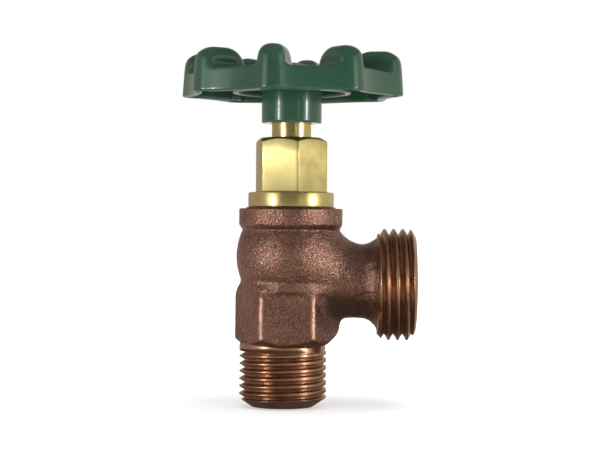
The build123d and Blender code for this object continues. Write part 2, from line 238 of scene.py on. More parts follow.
class ValveFinishes(bpy.types.PropertyGroup):
    """Colours of the finishes."""

    bronze: bpy.props.FloatVectorProperty(
        name="Cast bronze", description="Colour of the cast skin", subtype="COLOR",
        default=(0.275, 0.138, 0.096),
    )
    # Painted glint: colour of grains painted as if they catch the light
    bronze_painted_glint: bpy.props.FloatVectorProperty(
        name="Bronze glint", description="Colour of the brighter sand grains", subtype="COLOR",
        default=(0.54, 0.315, 0.235),
    )
    # Painted highlight: the hexagon's rubbed corners take this lighter colour
    rubbed_edge_highlight: bpy.props.FloatVectorProperty(
        name="Worn edge", description="Colour of the wrench hexagon's rubbed corners", subtype="COLOR",
        default=(0.75, 0.43, 0.30),
    )
    machined: bpy.props.FloatVectorProperty(
        name="Machined bronze", description="Colour of the threads", subtype="COLOR",
        default=(0.56, 0.32, 0.2),
    )
    brass: bpy.props.FloatVectorProperty(
        name="Brass", description="Colour of the nut and stem", subtype="COLOR", default=(0.74, 0.61, 0.25)
    )
    enamel: bpy.props.FloatVectorProperty(
        name="Enamel", description="Colour of the handwheel", subtype="COLOR", default=(0.013, 0.057, 0.030)
    )


class StudioSettings(bpy.types.PropertyGroup):
    """Camera and lamps."""

    camera_distance: bpy.props.FloatProperty(
        name="Camera distance", description="From the stem axis, in mm", default=420.0
    )
    camera_height: bpy.props.FloatProperty(
        name="Camera height", description="Above the inlet's end, in mm", default=44.4
    )
    lamp_power: bpy.props.FloatProperty(
        name="Softbox power", description="Power of the left softbox", subtype="POWER", default=2.0
    )


# Distance fields: arrays of signed distance in millimetres, negative inside


def smooth_union(first, second, blend):
    """Union of two fields with a fillet about as wide as blend."""
    share = np.clip(0.5 + 0.5 * (second - first) / blend, 0, 1)
    return second + (first - second) * share - blend * share * (1 - share)


def smooth_overlap(first, second, blend):
    """What two fields share, with a rounded edge."""
    return -smooth_union(-first, -second, blend)


def smooth_cut(solid, cutter, blend):
    """A solid less a cutter, with a rounded edge."""
    return -smooth_union(-solid, cutter, blend)


def rounded_plate(outline, height, low, high, edge):
    """A plan outline raised to a plate from low to high, with its edges rounded."""
    sideways = outline + edge
    upward = np.abs(height - (low + high) / 2) - (high - low) / 2 + edge
    outside = np.sqrt(np.maximum(sideways, 0) ** 2 + np.maximum(upward, 0) ** 2)
    return np.minimum(np.maximum(sideways, upward), 0) + outside - edge


def off_axis(across, deep, centre=0.0):
    """Distance from an axis that crosses the first coordinate at centre."""
    return np.sqrt((across - centre) ** 2 + deep**2)


def polygon_distance(across, up, outline):
    """Signed distance from points to a closed outline of (x, y) corners."""
    nearest = np.full(across.shape, np.inf)
    inside = np.zeros(across.shape, dtype=bool)
    corners = np.array(outline, dtype=float)
    for start, end in zip(corners, np.roll(corners, -1, axis=0)):
        edge = end - start
        length_squared = edge @ edge
        if length_squared == 0:
            continue
        along = ((across - start[0]) * edge[0] + (up - start[1]) * edge[1]) / length_squared
        along = np.clip(along, 0, 1)
        gap = (across - start[0] - along * edge[0]) ** 2 + (up - start[1] - along * edge[1]) ** 2
        nearest = np.minimum(nearest, gap)
        if start[1] != end[1]:
            crosses = (start[1] > up) != (end[1] > up)
            at = start[0] + (up - start[1]) * edge[0] / edge[1]
            inside ^= crosses & (across < at)
    distance = np.sqrt(nearest)
    return np.where(inside, -distance, distance)


def turned_field(radius, height, outline):
    """Field of a solid of revolution from a closed (radius, height) outline, through a fine table."""
    step = 0.1
    # Keeps the upper neighbour of each place inside the table
    last_cell = 1.001
    mirrored = [(-r, h) for r, h in reversed(outline)]
    low_height = float(height.min())
    rows = int((float(height.max()) - low_height) / step) + 2
    columns = int(float(radius.max()) / step) + 2
    radii, heights = np.arange(columns) * step, low_height + np.arange(rows) * step
    table_r, table_h = np.meshgrid(radii, heights, indexing="ij")
    table = polygon_distance(table_r, table_h, list(outline) + mirrored).astype(np.float32)
    column = np.clip(radius / step, 0, columns - last_cell)
    row = np.clip((height - low_height) / step, 0, rows - last_cell)
    column_low = column.astype(np.int32)
    row_low = row.astype(np.int32)
    right = (column - column_low).astype(np.float32)
    above = (row - row_low).astype(np.float32)
    lower = table[column_low, row_low] * (1 - right) + table[column_low + 1, row_low] * right
    upper = table[column_low, row_low + 1] * (1 - right) + table[column_low + 1, row_low + 1] * right
    return lower * (1 - above) + upper * above


def arc_points(start, middle, end, count=16):
    """Points along the circular arc through three points."""
    (ax, ay), (bx, by), (cx, cy) = start, middle, end
    d = 2 * (ax * (by - cy) + bx * (cy - ay) + cx * (ay - by))
    ux = ((ax**2 + ay**2) * (by - cy) + (bx**2 + by**2) * (cy - ay) + (cx**2 + cy**2) * (ay - by)) / d
    uy = ((ax**2 + ay**2) * (cx - bx) + (bx**2 + by**2) * (ax - cx) + (cx**2 + cy**2) * (bx - ax)) / d
    radius = hypot(ax - ux, ay - uy)
    first = atan2(ay - uy, ax - ux)
    last = atan2(cy - uy, cx - ux)
    via = atan2(by - uy, bx - ux)
    sweep = (last - first) % FULL_TURN
    if (via - first) % FULL_TURN > sweep:
        sweep -= FULL_TURN
    return [
        (ux + radius * cos(first + sweep * i / count), uy + radius * sin(first + sweep * i / count))
        for i in range(count + 1)
    ]


def uneven(x, y, z, wavelength, seed):
    """Smooth random unevenness, mostly between -1 and 1, as a sum of waves in all directions."""
    waves = 24
    shortest, longest = 0.7, 1.5
    most = 1.4
    random = np.random.default_rng(seed)
    total = np.zeros(x.shape, dtype=np.float32)
    for _ in range(waves):
        direction = random.normal(size=3)
        length = wavelength * random.uniform(shortest, longest)
        direction *= FULL_TURN / (length * np.linalg.norm(direction))
        start = random.uniform(0, FULL_TURN)
        total += np.cos(x * direction[0] + y * direction[1] + z * direction[2] + start)
    return total * sqrt(2 / waves) / most


def field_grid(low, high, step):
    """Coordinates in millimetres over a box and a margin of three steps, and their lowest corner."""
    margin = 3 * step
    low = [value - margin for value in low]
    axes = [np.arange(a, b + margin + step, step, dtype=np.float32) for a, b in zip(low, high)]
    return low, np.meshgrid(*axes, indexing="ij")


def mesh_from_field(name, field, low, step, shift=0.0):
    """Closed mesh on the field's zero, in metres, moved along the outlet by shift."""
    outside = 3.0
    volume = openvdb.FloatGrid(background=outside)
    volume.copyFromArray(np.ascontiguousarray(field, dtype=np.float32))
    points, quads = volume.convertToQuads(isovalue=0.0)
    places = (points * step + np.array([low[0] + shift, low[1], low[2]])) * MM
    mesh = bpy.data.meshes.new(name)
    mesh.from_pydata(places.tolist(), [], quads[:, ::-1].tolist())
    mesh.validate()
    return add_piece(name, mesh)


def add_piece(name, mesh):
    """Object in the scene, smooth shaded, with its faces turned outwards."""
    work = bmesh.new()
    work.from_mesh(mesh)
    bmesh.ops.recalc_face_normals(work, faces=work.faces)
    for face in work.faces:
        face.smooth = True
    work.to_mesh(mesh)
    work.free()
    piece = bpy.data.objects.new(name, mesh)
    bpy.context.scene.collection.objects.link(piece)
    return piece


def settle(piece, rounds):
    """Smooths the grid's steps out of a mesh."""
    modifier = piece.modifiers.new("settle", "SMOOTH")
    modifier.factor = 0.5
    modifier.iterations = rounds
    graph = bpy.context.evaluated_depsgraph_get()
    mesh = bpy.data.meshes.new_from_object(piece.evaluated_get(graph))
    piece.modifiers.clear()
    piece.data = mesh


def finish_piece(piece, finish, body, nodes):
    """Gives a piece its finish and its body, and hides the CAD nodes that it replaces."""
    piece.data.materials.append(finish_library()[finish])
    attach(piece, body)
    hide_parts(*nodes)


# Surfaces laid out on columns round an axis


def wrapped_mesh(name, rows, x_centre=0.0, level=None):
    """Mesh from rows of (radius, height) columns round an axis, upright or, with a level, along the outlet.

    The last column meets the first.
    """
    weld, sliver = 0.002, 0.001
    radius = np.array([row[0] for row in rows])
    height = np.array([row[1] for row in rows])
    turn = rows[0][2]
    if level is None:
        places = np.stack([x_centre + radius * np.cos(turn), radius * np.sin(turn), height], axis=-1)
    else:
        places = np.stack([height, radius * np.cos(turn), level + radius * np.sin(turn)], axis=-1)
    count_rows, count_columns = radius.shape
    index = np.arange(count_rows * count_columns).reshape(count_rows, count_columns)
    quads = np.stack([index[:-1, :-1], index[:-1, 1:], index[1:, 1:], index[1:, :-1]], axis=-1)
    mesh = bpy.data.meshes.new(name)
    mesh.from_pydata((places.reshape(-1, 3) * MM).tolist(), [], quads.reshape(-1, 4).tolist())
    work = bmesh.new()
    work.from_mesh(mesh)
    bmesh.ops.remove_doubles(work, verts=work.verts, dist=weld * MM)
    bmesh.ops.dissolve_degenerate(work, edges=work.edges, dist=sliver * MM)
    work.to_mesh(mesh)
    work.free()
    return add_piece(name, mesh)


def thread_rows(turn, start, end, pitch, crest, root, limit):
    """Rows of a helical 60 degree thread, with its knots along the helix. limit caps the radius."""
    flat_share = 0.035
    half_angle = pi / 6
    knots = [0.0, 0.06, 0.12, 0.18, 0.24, 0.31, 0.38, 0.46, 0.54, 0.62, 0.69, 0.76, 0.82, 0.88, 0.94]
    first = int(np.floor(start / pitch)) - 2
    last = int(np.ceil(end / pitch)) + 1
    lead = turn / FULL_TURN * pitch
    rows = []
    for position in ((whole + knot) * pitch for whole in range(first, last) for knot in knots):
        height = np.clip(position + lead, start, end)
        from_groove = np.abs(((height - lead) / pitch) % 1.0 - 0.5) * pitch
        flank = root + np.maximum(from_groove - flat_share * pitch, 0) / tan(half_angle)
        rows.append((np.minimum(np.minimum(crest, flank), limit(height)), height, turn))
    return rows


def plain_rows(turn, outline):
    """Rows of constant radius from (radius, height) points."""
    return [(np.full(turn.shape, r), np.full(turn.shape, h), turn) for r, h in outline]


# Node groups for effects that more than one finish uses


def new_group(name, inputs, outputs):
    group = bpy.data.node_groups.new(name, "ShaderNodeTree")
    for label, kind, default in inputs:
        socket = group.interface.new_socket(name=label, in_out="INPUT", socket_type=kind)
        socket.default_value = default
    for label, kind in outputs:
        group.interface.new_socket(name=label, in_out="OUTPUT", socket_type=kind)
    return group, group.nodes.new("NodeGroupInput"), group.nodes.new("NodeGroupOutput")


def feed(tree, socket, value):
    """Links another node's output to a socket, or writes a number, vector or colour to it."""
    if isinstance(value, bpy.types.NodeSocket):
        tree.links.new(value, socket)
    else:
        socket.default_value = value


def set_inputs(tree, node, **values):
    """Feeds a node's inputs by name, with _ for each space."""
    for label, value in values.items():
        feed(tree, node.inputs[label.replace("_", " ")], value)


def math_node(tree, operation, *values):
    node = tree.nodes.new("ShaderNodeMath")
    node.operation = operation
    for socket, value in zip(node.inputs, values):
        feed(tree, socket, value)
    return node.outputs[0]


def vector_node(tree, operation, *values):
    node = tree.nodes.new("ShaderNodeVectorMath")
    node.operation = operation
    for socket, value in zip(node.inputs, values):
        feed(tree, socket, value)
    return node


def mix_colour(tree, factor, first, second):
    """Mix of two colours. The node has them at its inputs 6 and 7 and its output 2."""
    node = tree.nodes.new("ShaderNodeMix")
    node.data_type = "RGBA"
    for index, value in ((0, factor), (6, first), (7, second)):
        feed(tree, node.inputs[index], value)
    return node.outputs[2]


def opaque(colour, share=1.0):
    """A colour times a share, with the fourth number that sockets take."""
    return (*(share * value for value in colour), 1.0)


def object_place(tree):
    return tree.nodes.new("ShaderNodeTexCoord").outputs["Object"]


def noise_node(tree, vector, scale, detail, roughness):
    node = tree.nodes.new("ShaderNodeTexNoise")
    set_inputs(tree, node, Vector=vector, Scale=scale, Detail=detail, Roughness=roughness)
    return node.outputs[0]


def ramp_node(tree, factor, low, high):
    node = tree.nodes.new("ShaderNodeMapRange")
    set_inputs(tree, node, Value=factor, From_Min=low, From_Max=high)
    return node.outputs["Result"]


def sand_grain_group():
    """Sand cast skin: Grain is its height, Glint marks grains where a glint is painted, Patch is broad."""
    group, entry, leave = new_group(
        "sand_grain",
        [("Cells per metre", "NodeSocketFloat", 1500.0)],
        [("Grain", "NodeSocketFloat"), ("Glint", "NodeSocketFloat"), ("Patch", "NodeSocketFloat")],
    )
    place = object_place(group)
    scale = entry.outputs["Cells per metre"]
    cells = group.nodes.new("ShaderNodeTexVoronoi")
    cells.feature = "SMOOTH_F1"
    set_inputs(group, cells, Vector=place, Scale=scale, Smoothness=0.6)
    # Fine, coarse and broad noise: share of the cells' scale, detail, roughness
    layers = ((1.35, 4.0, 0.65), (0.3, 2.0, 0.5), (0.06, 3.0, 0.6))
    fine, coarse, broad = [
        noise_node(group, place, math_node(group, "MULTIPLY", scale, share), detail, roughness)
        for share, detail, roughness in layers
    ]
    cell_height, coarse_height = 0.7, 0.9
    height = math_node(group, "MULTIPLY", cells.outputs["Distance"], cell_height)
    height = math_node(group, "ADD", height, fine)
    height = math_node(group, "ADD", height, math_node(group, "MULTIPLY", coarse, coarse_height))
    # Painted glint: grains where the fine noise is high
    glint = ramp_node(group, fine, low=0.44, high=0.7)
    patch = ramp_node(group, broad, low=0.35, high=0.65)
    set_inputs(group, leave, Grain=height, Glint=glint, Patch=patch)
    return group


def tool_mark_group():
    """Fine marks of cutting tools: Lines is their height and Smear varies the polish."""
    group, entry, leave = new_group(
        "tool_marks",
        [("Lines per metre", "NodeSocketFloat", 9000.0), ("Stretch", "NodeSocketVector", (1.0, 1.0, 1.0))],
        [("Lines", "NodeSocketFloat"), ("Smear", "NodeSocketFloat")],
    )
    place = object_place(group)
    stretched = vector_node(group, "MULTIPLY", place, entry.outputs["Stretch"]).outputs["Vector"]
    lines = noise_node(group, stretched, entry.outputs["Lines per metre"], detail=2.0, roughness=0.6)
    smear = noise_node(group, place, scale=260.0, detail=3.0, roughness=0.6)
    set_inputs(group, leave, Lines=lines, Smear=smear)
    return group


finish_table = {}


def new_material(name):
    """Node tree and shader of a new material, which finish_table keeps by name."""
    material = bpy.data.materials.new("finish_" + name)
    finish_table[name] = material
    material.use_nodes = True
    tree = material.node_tree
    return tree, tree.nodes["Principled BSDF"]


def place_group(tree, group, **values):
    node = tree.nodes.new("ShaderNodeGroup")
    node.node_tree = group
    set_inputs(tree, node, **values)
    return node


def add_bump(tree, shader, height, strength, distance_mm):
    bump = tree.nodes.new("ShaderNodeBump")
    set_inputs(tree, bump, Height=height, Strength=strength, Distance=distance_mm * MM)
    set_inputs(tree, shader, Normal=bump.outputs["Normal"])


def rubbed_corner_highlight_mask(tree):
    """One along the corners of the wrench hexagon, which stand furthest from its axis: rubbed corners that
    are painted lighter as a highlight.
    """
    centred = vector_node(tree, "SUBTRACT", object_place(tree), (WRENCH_X * MM, 0, 0))
    parts = tree.nodes.new("ShaderNodeSeparateXYZ")
    set_inputs(tree, parts, Vector=centred.outputs["Vector"])
    across = math_node(tree, "MULTIPLY", parts.outputs["X"], parts.outputs["X"])
    deep = math_node(tree, "MULTIPLY", parts.outputs["Y"], parts.outputs["Y"])
    radius = math_node(tree, "SQRT", math_node(tree, "ADD", across, deep))
    # Where the rubbing and its painted highlight start and where they are full, in millimetres
    corner = ramp_node(tree, radius, low=12.38 * MM, high=12.64 * MM)
    below_waist = ramp_node(tree, parts.outputs["Z"], low=27.0 * MM, high=26.2 * MM)
    off_neck = ramp_node(tree, parts.outputs["X"], low=9.6 * MM, high=9.0 * MM)
    return math_node(tree, "MULTIPLY", corner, math_node(tree, "MULTIPLY", below_waist, off_neck))


def cast_bronze(grain_group, finishes):
    """Sand cast skin, darker in patches, with painted glints on grains and rubbed corners that are smoother
    and painted lighter as a highlight.
    """
    dark_share = 0.6
    roughness, smoother = 0.4, 0.1
    tree, shader = new_material("cast_bronze")
    grain = place_group(tree, grain_group, Cells_per_metre=1900.0)
    patch, glint = grain.outputs["Patch"], grain.outputs["Glint"]
    rubbed_highlight = rubbed_corner_highlight_mask(tree)
    colour = mix_colour(tree, patch, opaque(finishes.bronze, dark_share), opaque(finishes.bronze))
    # Painted glints on the grains
    colour = mix_colour(tree, glint, colour, opaque(finishes.bronze_painted_glint))
    # Rubbed corners, painted lighter as a highlight
    colour = mix_colour(tree, rubbed_highlight, colour, opaque(finishes.rubbed_edge_highlight))
    bright = math_node(tree, "MAXIMUM", glint, rubbed_highlight)
    rough = math_node(tree, "SUBTRACT", roughness, math_node(tree, "MULTIPLY", bright, smoother))
    set_inputs(tree, shader, Base_Color=colour, Metallic=1.0, Roughness=rough)
    add_bump(tree, shader, grain.outputs["Grain"], strength=1.0, distance_mm=0.12)


def machined_metal(name, marks_group, colour, dark_share, roughness, stretch, bump):
    """Turned or cut metal with tool marks, rougher and lighter where it is smeared."""
    rougher = 0.08
    tree, shader = new_material(name)
    marks = place_group(tree, marks_group, Lines_per_metre=9000.0, Stretch=stretch)
    smear = ramp_node(tree, marks.outputs["Smear"], low=0.35, high=0.7)
    colour = mix_colour(tree, smear, opaque(colour, dark_share), opaque(colour))
    rough = math_node(tree, "ADD", roughness, math_node(tree, "MULTIPLY", smear, rougher))
    set_inputs(tree, shader, Base_Color=colour, Metallic=1.0, Roughness=rough)
    add_bump(tree, shader, marks.outputs["Lines"], strength=bump, distance_mm=0.02)


def green_enamel(finishes):
    """Gloss enamel with a slight orange peel, paler in broad clouds."""
    light_share = 1.35
    tree, shader = new_material("green_enamel")
    place = object_place(tree)
    peel = noise_node(tree, place, scale=420.0, detail=2.0, roughness=0.5)
    cloud = noise_node(tree, place, scale=90.0, detail=3.0, roughness=0.6)
    cloud = ramp_node(tree, cloud, low=0.35, high=0.65)
    colour = mix_colour(tree, cloud, opaque(finishes.enamel), opaque(finishes.enamel, light_share))
    set_inputs(tree, shader, Base_Color=colour, Roughness=0.28, Coat_Weight=0.5, Coat_Roughness=0.1)
    add_bump(tree, shader, peel, strength=0.18, distance_mm=0.05)


def soft_material(name, dark, pale, roughness):
    """Matt packing or rubber with a mottle between two colours."""
    tree, shader = new_material(name)
    mottle = noise_node(tree, object_place(tree), scale=900.0, detail=4.0, roughness=0.6)
    colour = mix_colour(tree, mottle, opaque(dark), opaque(pale))
    set_inputs(tree, shader, Base_Color=colour, Roughness=roughness)
    add_bump(tree, shader, mottle, strength=0.4, distance_mm=0.05)


def finish_library():
    """Every finish by name, made once."""
    if "cast_bronze" in finish_table:
        return finish_table
    finishes = bpy.context.scene.valve_finishes
    steel = (0.3, 0.31, 0.3)
    all_ways, round_z, along_threads = (1, 1, 1), (0.02, 0.02, 1.0), (0.1, 0.1, 0.3)
    cast_bronze(sand_grain_group(), finishes)
    marks = tool_mark_group()
    # Finish, colour, share of it where dark, roughness, stretch of the tool marks, strength of their bump
    machined_metal("machined_bronze", marks, finishes.machined, 0.7, 0.25, along_threads, 0.12)
    machined_metal("nut_brass", marks, finishes.brass, 0.88, 0.26, round_z, 0.16)
    machined_metal("stem_brass", marks, finishes.brass, 0.8, 0.22, round_z, 0.18)
    machined_metal("screw_steel", marks, steel, 0.8, 0.35, all_ways, 0.1)
    green_enamel(finishes)
    soft_material("packing_graphite", (0.03, 0.03, 0.032), (0.064, 0.064, 0.0676), roughness=0.6)
    soft_material("washer_rubber", (0.012, 0.012, 0.012), (0.0316, 0.0316, 0.0316), roughness=0.7)
    return finish_table


# Pieces


def wrench_envelope():
    """Outline that chamfers the wrench hexagon below and domes it above."""
    clearance = 0.1
    dome_setback, dome_rise = 0.55, 2.3
    corner = WRENCH_FLATS / sqrt(3) + clearance
    dome = arc_points(
        (corner, WRENCH_CORNER_TOP),
        (corner - dome_setback, WRENCH_CORNER_TOP + dome_rise),
        (WRENCH_FLATS / 2, WRENCH_DOME_TOP),
    )
    chamfer = [(0, WRENCH_BASE), (LAND_RADIUS, WRENCH_BASE), (corner, WRENCH_CHAMFER_TOP)]
    return chamfer + dome + [(0, WRENCH_DOME_TOP)]


def barrel_outline():
    """Outline of the waist, globe, collar and lip, with a core hidden in the wrench hexagon."""
    depth, raised = 0.3, 1
    core = WRENCH_FLATS / 2 - (STEM_X - WRENCH_X) - depth
    core_base = WRENCH_BASE + raised
    brow = WRENCH_FLAT_TOP + WAIST[0] - core
    globe = arc_points(WAIST, GLOBE, THROAT, count=24)
    return (
        [(0, core_base), (core, core_base), (core, WRENCH_FLAT_TOP), (WAIST[0], brow)]
        + globe
        + [
            (COLLAR_RADIUS, COLLAR_BASE),
            (COLLAR_RADIUS, COLLAR_TOP),
            (LIP_RADIUS, COLLAR_TOP),
            (LIP_RADIUS, LIP_TOP),
            (0, LIP_TOP),
        ]
    )


def hexagon_field(x, y, flats):
    """Distance to a hexagonal prism's sides, with a corner towards +x."""
    turn = np.arctan2(y, x)
    sector = pi / 3
    folded = np.abs(turn - sector * np.floor(turn / sector) - sector / 2)
    radius = off_axis(x, y)
    out = radius * np.cos(folded) - flats / 2
    side = radius * np.sin(folded) - flats / 2 * tan(sector / 2)
    return np.where(side > 0, np.sqrt(np.maximum(out, 0) ** 2 + side**2) + np.minimum(out, 0), out)


def waterway_outline():
    """Seat bore, chamber, stem thread and counterbore about the stem axis."""
    seat_height, seat_width, seat_slope = 1.4, 1.6, 0.5
    bore_depth, over_lip = 6.5, 2
    floor = SEAT_Z - seat_height
    ring = SEAT_BORE + seat_width
    return [
        (0, SEAT_Z - bore_depth),
        (SEAT_BORE, SEAT_Z - bore_depth),
        (SEAT_BORE, SEAT_Z),
        (ring, SEAT_Z),
        (ring + seat_slope, floor),
        (CHAMBER_RADIUS, floor),
        (CHAMBER_RADIUS, BODY_THREAD_BASE),
        (BODY_THREAD_RADIUS, BODY_THREAD_BASE),
        (BODY_THREAD_RADIUS, LEDGE_Z),
        (COUNTERBORE, LEDGE_Z),
        (COUNTERBORE, LIP_TOP + over_lip),
        (0, LIP_TOP + over_lip),
    ]


def neck_field(x, y, z):
    """Neck from the barrel, flaring out to the hose thread."""
    growth_end = FLARE_RADIUS - NECK_RADIUS
    bend = (FLARE_LENGTH**2 + growth_end**2) / (2 * growth_end)
    run = np.clip(x - STEM_X - NECK_REACH, 0, FLARE_LENGTH)
    growth = bend - np.sqrt(bend**2 - run**2)
    slope = run / np.sqrt(bend**2 - run**2)
    centre = OUTLET_Z + NECK_RISE * (1 - growth / growth_end)
    side = (off_axis(z, y, centre) - NECK_RADIUS - growth) / np.sqrt(1 + slope**2)
    return np.maximum(np.maximum(side, x - HOSE_START), STEM_X - x)


def wrench_field(x, y, z):
    """Wrench hexagon with rounded corners, chamfered below and domed above."""
    envelope_blend = 0.5
    plan = WRENCH_FLATS - 2 * WRENCH_CORNER_ROUND
    prism = hexagon_field(x - WRENCH_X, y, plan) - WRENCH_CORNER_ROUND
    envelope = turned_field(off_axis(x, y, WRENCH_X), z, wrench_envelope())
    return smooth_cut(prism, -envelope, envelope_blend)


def shell_field(x, y, z):
    """Outside of the casting: barrel, wrench hexagon and neck, joined by their fillets."""
    hexagon_blend, underside_blend = 0.9, 1.2
    # The cone under the hexagon is an ellipse in plan, longer from front to back
    cone_slope, cone_plan, cone_drop = 0.7, 0.64, 0.1
    # The fillet round the neck grows from its underside upwards
    least_blend, most_blend, growth, growth_base = 2.4, 5.2, 0.2, 21.4
    barrel = turned_field(off_axis(x, y, STEM_X), z, barrel_outline())
    trunk = smooth_union(barrel, wrench_field(x, y, z), hexagon_blend)
    cone = np.sqrt(x**2 + cone_plan * y**2) - LAND_RADIUS - z + WRENCH_BASE - cone_drop
    trunk = smooth_cut(trunk, -cone_slope * cone, underside_blend)
    neck_blend = np.clip(least_blend + growth * (z - growth_base), least_blend, most_blend)
    cast = smooth_union(trunk, neck_field(x, y, z), neck_blend)
    return np.maximum(cast, z - LIP_TOP)


def cast_skin(x, y, z, cast, wave):
    """Adds the uneven skin, the parting line and a nick beside the collar to the casting."""
    reach = 1.5
    # Each wave's length in mm and its seed, then the fine one's share
    broad_wave, fine_wave, fine_share = (5.5, 3), (2.1, 8), 0.55
    edge = 0.3
    parting_end = HOSE_START - 1
    nick_place, nick_size = (10.9, -5.9, 45.3), (0.45, 0.45, 1.3)
    near = np.abs(cast) < reach
    places = x[near], y[near], z[near]
    skin = np.zeros(cast.shape, dtype=np.float32)
    skin[near] = wave * (uneven(*places, *broad_wave) + fine_share * uneven(*places, *fine_wave))
    machined = np.clip((z - COLLAR_TOP + edge) / edge, 0, 1)
    parting = PARTING_HEIGHT * np.exp(-((y / PARTING_WIDTH) ** 2)) * (x < parting_end)
    cast = cast + (skin - parting) * (1 - machined)
    from_nick = [
        (value - at) / size for value, at, size in zip((x - STEM_X, y, z), nick_place, nick_size)
    ]
    nick = np.sqrt(from_nick[0] ** 2 + from_nick[1] ** 2 + from_nick[2] ** 2)
    return np.maximum(cast, (1 - nick) * nick_size[0])


def body_field(x, y, z, wave):
    """Casting with its skin and its waterway, without the machined threads."""
    sleeve, seat_depth = 0.2, 4.6
    cast = cast_skin(x, y, z, shell_field(x, y, z), wave)
    from_outlet = off_axis(z, y, OUTLET_Z)
    way = turned_field(off_axis(x, y, STEM_X), z, waterway_outline())
    passage = np.maximum(from_outlet - PASSAGE, STEM_X - x)
    wide = np.maximum(from_outlet - HOSE_BORE - sleeve, HOSE_START - HOSE_BORE_TAPER - x)
    inlet = np.maximum(off_axis(x, y) - INLET_BORE, z - SEAT_Z + seat_depth)
    hollow = np.minimum(np.minimum(way, passage), np.minimum(wide, inlet))
    return np.maximum(cast, -hollow)


class VALVE_OT_cast_body(bpy.types.Operator):
    """Cast bronze body with its waterway, seat and blended neck"""

    bl_idname = "valve.cast_body"
    bl_label = "Cast body"

    def execute(self, context):
        sizes = context.scene.valve_sizes
        step = sizes.casting_step
        half_depth = COLLAR_RADIUS + 1.5
        left = min(BODY_LOW[0], STEM_X - GLOBE[0])
        low_corner, high_corner = (left, -half_depth, WRENCH_BASE), (HOSE_START, half_depth, LIP_TOP)
        low, (x, y, z) = field_grid(low_corner, high_corner, step)
        piece = mesh_from_field("body_casting", body_field(x, y, z, sizes.casting_wave), low, step)
        settle(piece, rounds=2)
        finish_piece(piece, "cast_bronze", ROOT_BODY, ["body"])
        return {"FINISHED"}


class VALVE_OT_inlet_end(bpy.types.Operator):
    """Pipe thread, land and end face of the inlet"""

    bl_idname = "valve.inlet_end"
    bl_label = "Inlet thread"

    def execute(self, context):
        sizes = context.scene.valve_sizes
        columns = 161
        seam = radians(INLET_SEAM)
        turn = np.linspace(0, FULL_TURN, columns) + seam
        # The crests and grooves lie a little further out on the outlet's side
        crest_setback, crest_lean = 0.15, 0.1
        root_rise, root_lean = 0.1, 0.35
        crest = INLET_RADIUS - crest_setback + crest_lean * np.cos(turn)
        root = INLET_RADIUS - sizes.inlet_depth + root_rise + root_lean * np.cos(turn)
        chamfer_depth, chamfer_length = INLET_CHAMFER

        def limit(height):
            return INLET_RADIUS - chamfer_depth * (1 - height / chamfer_length)

        rows = thread_rows(turn - seam, 0.0, INLET_LENGTH, sizes.inlet_pitch, crest, root, limit)
        rows = [(radius, height, turn) for radius, height, _ in rows]
        bore_edge, thread_end, land_taper = 0.25, 0.25, 0.02
        # The land goes on into the wrench hexagon, and narrows there
        lap, hidden_height, hidden_inset = 0.4, 1.5, 0.6
        hidden_top = WRENCH_BASE + hidden_height
        inside = [(INLET_BORE, hidden_top), (INLET_BORE, bore_edge), (INLET_BORE + bore_edge, 0)]
        outside = [
            (LAND_RADIUS + land_taper, INLET_LENGTH + thread_end),
            (LAND_RADIUS, WRENCH_BASE + lap),
            (LAND_RADIUS - hidden_inset, hidden_top),
            (INLET_BORE, hidden_top),
        ]
        rows = plain_rows(turn, inside) + rows + plain_rows(turn, outside)
        piece = wrapped_mesh("inlet_thread", rows)
        finish_piece(piece, "machined_bronze", ROOT_BODY, ["body"])
        return {"FINISHED"}


class VALVE_OT_hose_end(bpy.types.Operator):
    """Hose thread, end face and bore of the outlet"""

    bl_idname = "valve.hose_end"
    bl_label = "Hose thread"

    def execute(self, context):
        sizes = context.scene.valve_sizes
        columns = 193
        turn = np.linspace(0, FULL_TURN, columns)
        chamfer_depth, chamfer_length = HOSE_CHAMFER
        start_setback, start_slope = 0.15, 1.05

        def limit(height):
            along = height - HOSE_CREST_SHIFT
            chamfered = np.clip((along - HOSE_FACE + chamfer_length) / chamfer_length, 0, 1)
            run_in = FLARE_RADIUS - start_setback + start_slope * (along - HOSE_START)
            return np.minimum(HOSE_RADIUS - chamfer_depth * chamfered, run_in)

        start, end = HOSE_START + HOSE_CREST_SHIFT, HOSE_FACE + HOSE_CREST_SHIFT
        root = HOSE_RADIUS - sizes.hose_depth
        rows = thread_rows(turn, start, end, sizes.hose_pitch, HOSE_RADIUS, root, limit)
        rows = [(radius, height - HOSE_CREST_SHIFT, turn) for radius, height, _ in rows]
        bore_end = HOSE_FACE - HOSE_BORE_LENGTH
        taper_end = bore_end - HOSE_BORE_TAPER
        face_inset, bore_edge = 0.1, 0.3
        # The sleeve round the bore, which the casting hides
        passage_wall, bore_wall = 1.5, 1.0
        sleeve_inset, sleeve_setback, start_inset = 1.2, 0.2, 0.5
        inside = [
            (HOSE_RADIUS - chamfer_depth - face_inset, HOSE_FACE),
            (HOSE_BORE + bore_edge, HOSE_FACE),
            (HOSE_BORE, HOSE_FACE - bore_edge),
            (HOSE_BORE, bore_end),
            (PASSAGE, taper_end),
            (PASSAGE + passage_wall, taper_end),
            (HOSE_BORE + bore_wall, bore_end),
            (FLARE_RADIUS - sleeve_inset, HOSE_START - sleeve_setback),
            (FLARE_RADIUS - start_inset, HOSE_START),
        ]
        piece = wrapped_mesh("hose_thread", rows + plain_rows(turn, inside), level=OUTLET_Z)
        finish_piece(piece, "machined_bronze", ROOT_BODY, ["body"])
        return {"FINISHED"}


